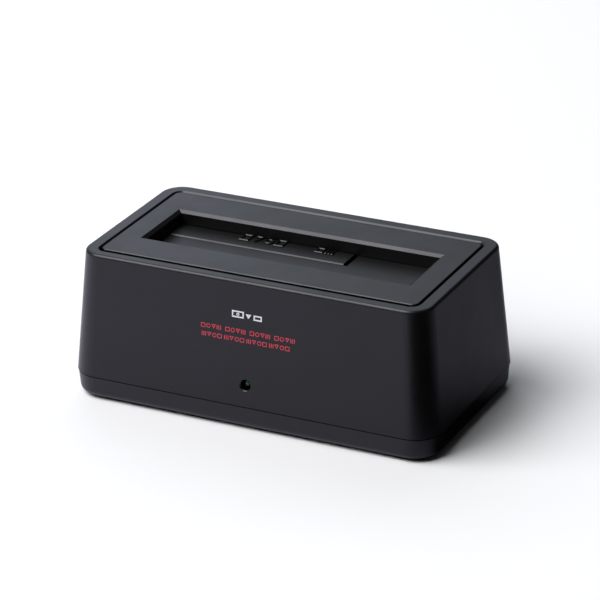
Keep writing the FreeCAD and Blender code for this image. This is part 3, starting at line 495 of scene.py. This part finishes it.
def sign_row(models, group_gap):
    """Copies of the models in a row, group after group, centred on x = 0."""
    group_pitch = row_pitch * len(models) + group_gap
    length = row_groups * group_pitch - group_gap - (row_pitch - sign_width)
    row = []
    for group in range(row_groups):
        for place, model in enumerate(models):
            x = group * group_pitch + place * row_pitch + sign_width / 2 - length / 2
            row.append(placed_copy(model, x))
    return row


def thickened(piece, depth):
    """Gives a flat piece its thickness, with a tenth more on both sides, so that it sinks in a little."""
    only(piece)
    bpy.ops.object.mode_set(mode="EDIT")
    bpy.ops.mesh.select_all(action="SELECT")
    bpy.ops.mesh.remove_doubles(threshold=0.001 * millimetre)
    bpy.ops.mesh.normals_make_consistent(inside=False)
    bpy.ops.object.mode_set(mode="OBJECT")
    wall = piece.modifiers.new("wall", "SOLIDIFY")
    whole = 1 + 2 * 0.1
    wall.thickness = depth * whole
    wall.offset = 1 / whole if piece.data.polygons[0].normal.z > 0 else -1 / whole
    bpy.ops.object.modifier_apply(modifier="wall")
    return piece


def face_toward(node, direction):
    """The middle and normal of a node's widest face that looks in a direction and lies on that side."""
    direction = Vector(direction)
    facing = [
        face
        for face in nodes[node].data.polygons
        if face.normal.dot(direction) > 0.9 and face.center.dot(direction) > 0
    ]
    widest = max(facing, key=lambda face: face.area)
    return widest.center.copy(), widest.normal.copy()


def laid_on(piece, point, normal, upward):
    """Turns a flat piece from the XY plane onto a face, with its Y axis along upward."""
    z_axis = normal.normalized()
    x_axis = Vector(upward).cross(z_axis).normalized()
    y_axis = z_axis.cross(x_axis)
    turn = Matrix((x_axis, y_axis, z_axis)).transposed()
    piece.matrix_world = Matrix.Translation(point) @ turn.to_4x4()
    settle(piece)
    return piece


def printed_ink(name, colour):
    """Pad-printed ink: a thin matt film, a little uneven in cover."""
    material = bpy.data.materials.new(name)
    material.use_nodes = True
    tree = material.node_tree
    surface = tree.nodes["Principled BSDF"]
    cover = spread(tree, noise_texture(tree, 0.4 * millimetre), 0.0, 1.0)
    tree.links.new(tone(tree, cover, scaled(colour, 0.9), colour), surface.inputs["Base Color"])
    shine = spread(tree, noise_texture(tree, 0.2 * millimetre), 0.42, 0.55)
    tree.links.new(shine, surface.inputs["Roughness"])
    return material


front_point, front_normal = face_toward("upper_housing", (0, -1, 0))


def front_at(along, height):
    """The point of the front face at a place along its length and a height."""
    depth = front_point.y + (height - front_point.z) * -front_normal.z / front_normal.y
    return Vector((along, depth, height))


signs = [
    drive_sign(sign_width, sign_height, sign_line),
    platter_sign(sign_width, sign_height, sign_line),
    wedge_sign(sign_width, sign_height, sign_line),
    bars_sign(sign_width, sign_height, sign_line),
]
upper_row = joined("upper_row", sign_row(signs, upper_row_gap))
lower_row = joined("lower_row", sign_row(signs[::-1], lower_row_gap))
for model in signs:
    bpy.data.objects.remove(model)
red_rows = []
for row, place in ((upper_row, upper_row_place), (lower_row, lower_row_place)):
    thickened(row, ink_thick)
    red_rows.append(laid_on(row, front_at(*place), front_normal, (0, 0, 1)))
red_print = joined("front_print_red", red_rows)
red_print.data.materials.append(printed_ink("red_ink", print_red))
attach(red_print, "dock")

large_drive = drive_sign(grey_drive_length, grey_drive_height, grey_line)
large_drive.location.x = grey_drive_middle
hub = platter_sign(hub_width, hub_width, hub_line)
hub.location.x = grey_drive_middle
arrow = wedge_sign(arrow_width, arrow_height, grey_line)
arrow.location = arrow_place
small_drive = drive_sign(grey_small_length, grey_small_height, grey_line)
small_drive.location = grey_small_place
grey_print = joined("front_print_grey", [large_drive, hub, arrow, small_drive])
thickened(grey_print, ink_thick)
laid_on(grey_print, front_at(*grey_mark_place), front_normal, (0, 0, 1))
grey_print.data.materials.append(printed_ink("grey_ink", print_grey))
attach(grey_print, "dock")


# Top panel
# A separate black moulding lies in the rim, with a dark groove round it. It is the same plastic in
# a slightly duller grain, and screws from below hold it.
panel_colour = (0.0022, 0.0020, 0.0020)
panel_plastic = moulded_plastic("panel_plastic", panel_colour, gloss=0.38, grain=0.32 * millimetre)
finish_node("top_panel", panel_plastic)


# Shutters
# Two flush doors close the slot: the L-shaped large one and the small one at the back left. Both
# are black mouldings, and the small one has raised signs that say where to push.
shutter_colour = (0.0020, 0.0018, 0.0018)
relief_height = 0.55 * millimetre
relief_line = 0.85 * millimetre
relief_edge = 0.28 * millimetre
relief_from_hinge = 4.4 * millimetre
push_sign_length = 3.9 * millimetre
push_sign_depth = 5.4 * millimetre
push_sign_pitch = 4.6 * millimetre
push_signs_middle = -16.75 * millimetre
push_signs = (drive_sign, wedge_sign, platter_sign, drive_sign)
door_sign_depth = 4.2 * millimetre
door_drive_length = 3.4 * millimetre
door_drive_middle = 5.9 * millimetre
door_bars_length = 3.2 * millimetre
door_bars_middle = 9.9 * millimetre
door_bars_line = relief_line * 0.75
shutter_plastic = moulded_plastic("shutter_plastic", shutter_colour, gloss=0.42)
finish_node("large_shutter", shutter_plastic)
finish_node("small_shutter", shutter_plastic)

door_low, door_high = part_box("small_shutter")
small_hinge = next(joint for joint in frame["joints"] if joint["name"] == "small_shutter_hinge")
raised_signs = []
for place, make_sign in enumerate(push_signs):
    sign = make_sign(push_sign_length, push_sign_depth, relief_line)
    sign.location.x = push_signs_middle + (place - (len(push_signs) - 1) / 2) * push_sign_pitch
    raised_signs.append(sign)
door_drive = drive_sign(door_drive_length, door_sign_depth, relief_line)
door_drive.location.x = door_drive_middle
door_bars = bars_sign(door_bars_length, door_sign_depth, door_bars_line)
door_bars.location.x = door_bars_middle
relief = joined("shutter_relief", raised_signs + [door_drive, door_bars])
thickened(relief, relief_height - relief_edge)
bpy.ops.object.mode_set(mode="EDIT")
bpy.ops.mesh.select_all(action="DESELECT")
bpy.ops.object.mode_set(mode="OBJECT")
for face in relief.data.polygons:
    face.select = face.normal.z > 0.9
bpy.ops.object.mode_set(mode="EDIT")
bpy.ops.mesh.inset(thickness=relief_edge, depth=relief_edge)
bpy.ops.object.mode_set(mode="OBJECT")
relief.location = (0, small_hinge["pos_m"][1] - relief_from_hinge, door_high.z)
settle(relief)
relief.data.materials.append(shutter_plastic)
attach(relief, "small_door")


# Base cover and feet
# The tray that closes the casing from below is the same plastic, from the same mould shop. Its recess
# holds a bare label of silvered film, and four soft rubber feet are stuck to its corners.
label_length = 59.2 * millimetre
label_width = 23.2 * millimetre
label_thick = 0.12 * millimetre
label_corner = 1.6 * millimetre
label_height = 1.0 * millimetre
label_silver = (0.58, 0.58, 0.60)
rubber_black = (0.012, 0.012, 0.012)
rubber_bumps = 0.01 * millimetre


def soft_rubber(name, colour):
    """Moulded rubber: dull, with a fine dusty unevenness."""
    material = bpy.data.materials.new(name)
    material.use_nodes = True
    tree = material.node_tree
    surface = tree.nodes["Principled BSDF"]
    dust = spread(tree, noise_texture(tree, 1.2 * millimetre), 0.0, 1.0)
    tree.links.new(tone(tree, dust, colour, scaled(colour, 1.8)), surface.inputs["Base Color"])
    shine = spread(tree, noise_texture(tree, 2 * millimetre), 0.68, 0.82)
    tree.links.new(shine, surface.inputs["Roughness"])
    bump = tree.nodes.new("ShaderNodeBump")
    bump.inputs["Distance"].default_value = rubber_bumps
    tree.links.new(noise_texture(tree, 0.3 * millimetre), bump.inputs["Height"])
    tree.links.new(bump.outputs["Normal"], surface.inputs["Normal"])
    return material


def silvered_film(name, colour):
    """Label film: satin silver, a little cloudy."""
    material = bpy.data.materials.new(name)
    material.use_nodes = True
    tree = material.node_tree
    surface = tree.nodes["Principled BSDF"]
    surface.inputs["Metallic"].default_value = 0.6
    streak = spread(tree, noise_texture(tree, 2 * millimetre), 0.0, 1.0)
    tree.links.new(tone(tree, streak, scaled(colour, 0.92), colour), surface.inputs["Base Color"])
    shine = spread(tree, noise_texture(tree, 1 * millimetre), 0.36, 0.46)
    tree.links.new(shine, surface.inputs["Roughness"])
    return material


finish_node("base_cover", moulded_plastic("base_plastic", casing_colour, casing_gloss))
finish_node("rubber_feet", soft_rubber("foot_rubber", rubber_black))

label = flat_plate(label_length, label_width)
bpy.ops.object.mode_set(mode="EDIT")
bpy.ops.mesh.select_all(action="SELECT")
bpy.ops.mesh.bevel(offset=label_corner, segments=6, affect="VERTICES")
bpy.ops.object.mode_set(mode="OBJECT")
thickened(label, label_thick)
laid_on(label, Vector((0, 0, label_height)), Vector((0, 0, -1)), (0, 1, 0))
label.name = "bare_label"
label.data.materials.append(silvered_film("label_film", label_silver))
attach(label, "dock")


# Hinge pins and springs
# The shutters turn on ground steel pins, which the panel's hinge plates hold. Torsion springs of
# drawn wire lie round the pins and close them.
steel_colour = (0.60, 0.60, 0.61)
steel_gloss = 0.28
streak_length, streak_width = 4 * millimetre, 0.12 * millimetre


def drawn_steel(name, colour, gloss):
    """Bare steel with fine lines along its length, which is the x axis."""
    material = bpy.data.materials.new(name)
    material.use_nodes = True
    tree = material.node_tree
    surface = tree.nodes["Principled BSDF"]
    surface.inputs["Metallic"].default_value = 1.0
    place = tree.nodes.new("ShaderNodeTexCoord")
    stretch = tree.nodes.new("ShaderNodeMapping")
    stretch.inputs["Scale"].default_value = (1 / streak_length, 1 / streak_width, 1 / streak_width)
    tree.links.new(place.outputs["Object"], stretch.inputs["Vector"])
    noise = tree.nodes.new("ShaderNodeTexNoise")
    noise.inputs["Scale"].default_value = 1.0
    tree.links.new(stretch.outputs["Vector"], noise.inputs["Vector"])
    line = spread(tree, noise.outputs["Fac"], 0.0, 1.0)
    tree.links.new(tone(tree, line, scaled(colour, 0.8), colour), surface.inputs["Base Color"])
    shine = spread(tree, noise.outputs["Fac"], gloss - 0.07, gloss + 0.07)
    tree.links.new(shine, surface.inputs["Roughness"])
    return material


for node in ("large_shutter_pin", "small_shutter_pin", "large_shutter_spring", "small_shutter_spring"):
    finish_node(node, drawn_steel(node + "_steel", steel_colour, steel_gloss))


# Drive cradle
# The well that guides a drive down to the connector is a plain inner moulding. Drives rub its walls,
# so it's a duller and slightly paler plastic than the casing.
cradle_colour = (0.0075, 0.0075, 0.0080)
cradle_plastic = moulded_plastic("cradle_plastic", cradle_colour, gloss=0.46, grain=0.5 * millimetre)
finish_node("drive_cradle", cradle_plastic)


# Main board
# A glass-cloth circuit board under green solder mask. Copper tracks show through as paler lines, and
# the rows of small holes are plated.
mask_green = (0.012, 0.085, 0.030)
track_green = (0.030, 0.150, 0.055)
hole_gold = (0.55, 0.38, 0.13)
mask_gloss = 0.32
field_size = 9 * millimetre
track_pitch = 1.6 * millimetre
track_rise = 0.03 * millimetre
track_edge_from, track_edge_to = 0.70, 0.78
waves_per_scale = 0.314
hole_pitch = 5.5 * millimetre
hole_share, hole_scatter = 0.09, 0.6


def circuit_board(name):
    """Solder mask over tracks that run in both directions, with plated holes."""
    material = bpy.data.materials.new(name)
    material.use_nodes = True
    tree = material.node_tree
    surface = tree.nodes["Principled BSDF"]
    surface.inputs["Roughness"].default_value = mask_gloss
    place = tree.nodes.new("ShaderNodeTexCoord")
    fields = tree.nodes.new("ShaderNodeTexVoronoi")
    fields.distance = "CHEBYCHEV"
    fields.inputs["Scale"].default_value = 1 / field_size
    tree.links.new(place.outputs["Object"], fields.inputs["Vector"])
    parts = tree.nodes.new("ShaderNodeSeparateColor")
    tree.links.new(fields.outputs["Color"], parts.inputs["Color"])
    tracks = []
    for direction in ("X", "Y"):
        wave = tree.nodes.new("ShaderNodeTexWave")
        wave.bands_direction = direction
        wave.inputs["Scale"].default_value = waves_per_scale / track_pitch
        tree.links.new(place.outputs["Object"], wave.inputs["Vector"])
        tracks.append(wave.outputs["Fac"])
    turn = tree.nodes.new("ShaderNodeMath")
    turn.operation = "GREATER_THAN"
    turn.inputs[1].default_value = 0.5
    tree.links.new(parts.outputs["Red"], turn.inputs[0])
    either = tree.nodes.new("ShaderNodeMix")
    tree.links.new(turn.outputs["Value"], either.inputs["Factor"])
    tree.links.new(tracks[0], either.inputs["A"])
    tree.links.new(tracks[1], either.inputs["B"])
    edge = tree.nodes.new("ShaderNodeMapRange")
    edge.inputs["From Min"].default_value = track_edge_from
    edge.inputs["From Max"].default_value = track_edge_to
    tree.links.new(either.outputs["Result"], edge.inputs["Value"])
    tracked = tone(tree, edge.outputs["Result"], mask_green, track_green)
    dots = tree.nodes.new("ShaderNodeTexVoronoi")
    dots.inputs["Scale"].default_value = 1 / hole_pitch
    dots.inputs["Randomness"].default_value = hole_scatter
    tree.links.new(place.outputs["Object"], dots.inputs["Vector"])
    ring = tree.nodes.new("ShaderNodeMath")
    ring.operation = "LESS_THAN"
    ring.inputs[1].default_value = hole_share
    tree.links.new(dots.outputs["Distance"], ring.inputs[0])
    plated = tree.nodes.new("ShaderNodeMix")
    plated.data_type = "RGBA"
    plated.inputs["B"].default_value = (*hole_gold, 1)
    tree.links.new(ring.outputs["Value"], plated.inputs["Factor"])
    tree.links.new(tracked, plated.inputs["A"])
    tree.links.new(plated.outputs["Result"], surface.inputs["Base Color"])
    tree.links.new(ring.outputs["Value"], surface.inputs["Metallic"])
    bump = tree.nodes.new("ShaderNodeBump")
    bump.inputs["Distance"].default_value = track_rise
    tree.links.new(edge.outputs["Result"], bump.inputs["Height"])
    tree.links.new(bump.outputs["Normal"], surface.inputs["Normal"])
    return material


finish_node("main_board", circuit_board("board_green"))


# Drive connector
# The upright drive connector is a black glass-filled moulding, whose contact blades are plated with
# gold where a drive wipes them.
connector_black = (0.010, 0.010, 0.011)
gold_colour = (0.83, 0.60, 0.24)


def plated_metal(name, colour, gloss, patch=0.8 * millimetre):
    """Plated metal: bright, with small clouds in the plating."""
    material = bpy.data.materials.new(name)
    material.use_nodes = True
    tree = material.node_tree
    surface = tree.nodes["Principled BSDF"]
    surface.inputs["Metallic"].default_value = 1.0
    cloud = spread(tree, noise_texture(tree, patch), 0.0, 1.0)
    tree.links.new(tone(tree, cloud, scaled(colour, 0.85), colour), surface.inputs["Base Color"])
    shine = spread(tree, noise_texture(tree, patch * 2), gloss - 0.05, gloss + 0.05)
    tree.links.new(shine, surface.inputs["Roughness"])
    return material


connector_plastic = moulded_plastic(
    "connector_plastic", connector_black, gloss=0.34, grain=0.2 * millimetre
)
finish_node("sata_connector", connector_plastic)
contact_gold = plated_metal("contact_gold", gold_colour, gloss=0.24)
finish_node("sata_contacts", contact_gold)


# Board parts
# The bridge chip and the regulator are black epoxy, the coil's core is grey ferrite, and the
# capacitors and the crystal stand in drawn metal cans, the capacitors on black bases.
epoxy_black = (0.014, 0.014, 0.015)
ferrite_grey = (0.060, 0.058, 0.056)
can_silver = (0.70, 0.70, 0.71)
epoxy_grain, ferrite_grain = 0.12 * millimetre, 0.2 * millimetre
can_base_top = 12.8 * millimetre
just_above = 0.02 * millimetre

epoxy = moulded_plastic("chip_epoxy", epoxy_black, gloss=0.55, grain=epoxy_grain)
finish_node("bridge_chip", epoxy)
finish_node("power_regulator", epoxy)
ferrite = moulded_plastic("coil_ferrite", ferrite_grey, gloss=0.62, grain=ferrite_grain)
finish_node("power_inductor", ferrite)
finish_node("crystal", plated_metal("crystal_can", can_silver, gloss=0.26))

cans = plated_metal("capacitor_cans", can_silver, gloss=0.30)
tree = cans.node_tree
surface = tree.nodes["Principled BSDF"]
place = tree.nodes.new("ShaderNodeTexCoord")
parts = tree.nodes.new("ShaderNodeSeparateXYZ")
tree.links.new(place.outputs["Object"], parts.inputs["Vector"])
above = tree.nodes.new("ShaderNodeMath")
above.operation = "GREATER_THAN"
above.inputs[1].default_value = can_base_top + just_above
tree.links.new(parts.outputs["Z"], above.inputs[0])
coat = tree.nodes.new("ShaderNodeMix")
coat.data_type = "RGBA"
coat.inputs["A"].default_value = (*epoxy_black, 1)
tree.links.new(above.outputs["Value"], coat.inputs["Factor"])
tree.links.new(surface.inputs["Base Color"].links[0].from_socket, coat.inputs["B"])
tree.links.new(coat.outputs["Result"], surface.inputs["Base Color"])
tree.links.new(above.outputs["Value"], surface.inputs["Metallic"])
finish_node("capacitors", cans)


# Data socket
# The square socket's shield is folded from tinned sheet. Inside it stands a pale nylon tongue that
# carries the gold springs, and the whole sits on the board's rear edge.
tin_colour = (0.66, 0.65, 0.63)
nylon_white = (0.62, 0.61, 0.57)
nylon_grain = 0.4 * millimetre
finish_node("usb_shell", plated_metal("shield_tin", tin_colour, gloss=0.30, patch=3 * millimetre))
finish_node("usb_insert", moulded_plastic("tongue_nylon", nylon_white, gloss=0.45, uneven=0.04))
finish_node("usb_contacts", contact_gold)


# Power inlet
# The barrel inlet is a black nylon block on the board's rear edge. A plated pin stands in the middle
# of its bore.
inlet_black = (0.008, 0.008, 0.009)
finish_node("dc_jack", moulded_plastic("inlet_nylon", inlet_black, gloss=0.30, grain=nylon_grain))
finish_node("dc_jack_pin", plated_metal("pin_plating", tin_colour, gloss=0.2))


# Power switch
# A rocker tilts in a square frame in the rear, both moulded in glossy black. The signs for on and
# off are printed on the rocker's halves.
switch_black = (0.007, 0.007, 0.008)
mark_white = (0.78, 0.78, 0.76)
mark_height = 2.6 * millimetre
mark_line = 0.45 * millimetre
rocker_fold = math.radians(16)
rocker_grain, rocker_grain_depth = 0.6 * millimetre, 0.002 * millimetre

frame_plastic = moulded_plastic("switch_frame_plastic", switch_black, gloss=0.30, grain=nylon_grain)
finish_node("switch_body", frame_plastic)
rocker_plastic = moulded_plastic(
    "rocker_plastic", switch_black, gloss=0.24, grain=rocker_grain, depth=rocker_grain_depth
)
finish_node("switch_rocker", rocker_plastic)

rocker_low, rocker_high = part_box("switch_rocker")
rocker_middle_z = (rocker_low.z + rocker_high.z) / 2
mark_ink = printed_ink("switch_ink", mark_white)
off_sign = platter_sign(mark_height, mark_height, mark_line)
on_sign = flat_plate(mark_line, mark_height)
off_half = Vector((0, 1, 0))
on_half = Vector((math.sin(rocker_fold), math.cos(rocker_fold), 0))
marks = []
for sign, toward in ((off_sign, off_half), (on_sign, on_half)):
    faces = [face for face in nodes["switch_rocker"].data.polygons if face.normal.dot(toward) > 0.995]
    area = sum(face.area for face in faces)
    middle = sum((face.center * face.area for face in faces), Vector()) / area
    middle.z = rocker_middle_z
    thickened(sign, ink_thick)
    marks.append(laid_on(sign, middle, faces[0].normal, (0, 0, 1)))
rocker_marks = joined("rocker_marks", marks)
rocker_marks.data.materials.append(mark_ink)
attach(rocker_marks, "rocker")


# Indicator lamp
# A round-nosed lamp of dark green tinted resin stands behind the hole in the front, in a black
# holder on the board, with two tinned leads.
lamp_green = (0.010, 0.090, 0.045)
resin_gloss, resin_ior, resin_clearness = 0.08, 1.54, 0.35


def tinted_resin(name, colour):
    """Clear cast resin with a dark tint and a smooth skin."""
    material = bpy.data.materials.new(name)
    material.use_nodes = True
    tree = material.node_tree
    surface = tree.nodes["Principled BSDF"]
    surface.inputs["Roughness"].default_value = resin_gloss
    surface.inputs["IOR"].default_value = resin_ior
    surface.inputs["Transmission Weight"].default_value = resin_clearness
    cloud = spread(tree, noise_texture(tree, 1 * millimetre), 0.0, 1.0)
    tree.links.new(tone(tree, cloud, scaled(colour, 0.7), colour), surface.inputs["Base Color"])
    return material


finish_node("indicator_lamp", tinted_resin("lamp_resin", lamp_green))
finish_node("lamp_holder", moulded_plastic("holder_nylon", connector_black, gloss=0.4, grain=nylon_grain))
finish_node("lamp_leads", plated_metal("lead_tin", tin_colour, gloss=0.3))


# Screws
# Zinc-plated cross-head screws hold the board, the cradle and the panel inside. Those of the base go
# in from below.
zinc_colour = (0.52, 0.53, 0.55)
zinc = plated_metal("screw_zinc", zinc_colour, gloss=0.34)
for node in ("base_screws", "board_screws", "panel_screws", "cradle_screws"):
    finish_node(node, zinc)
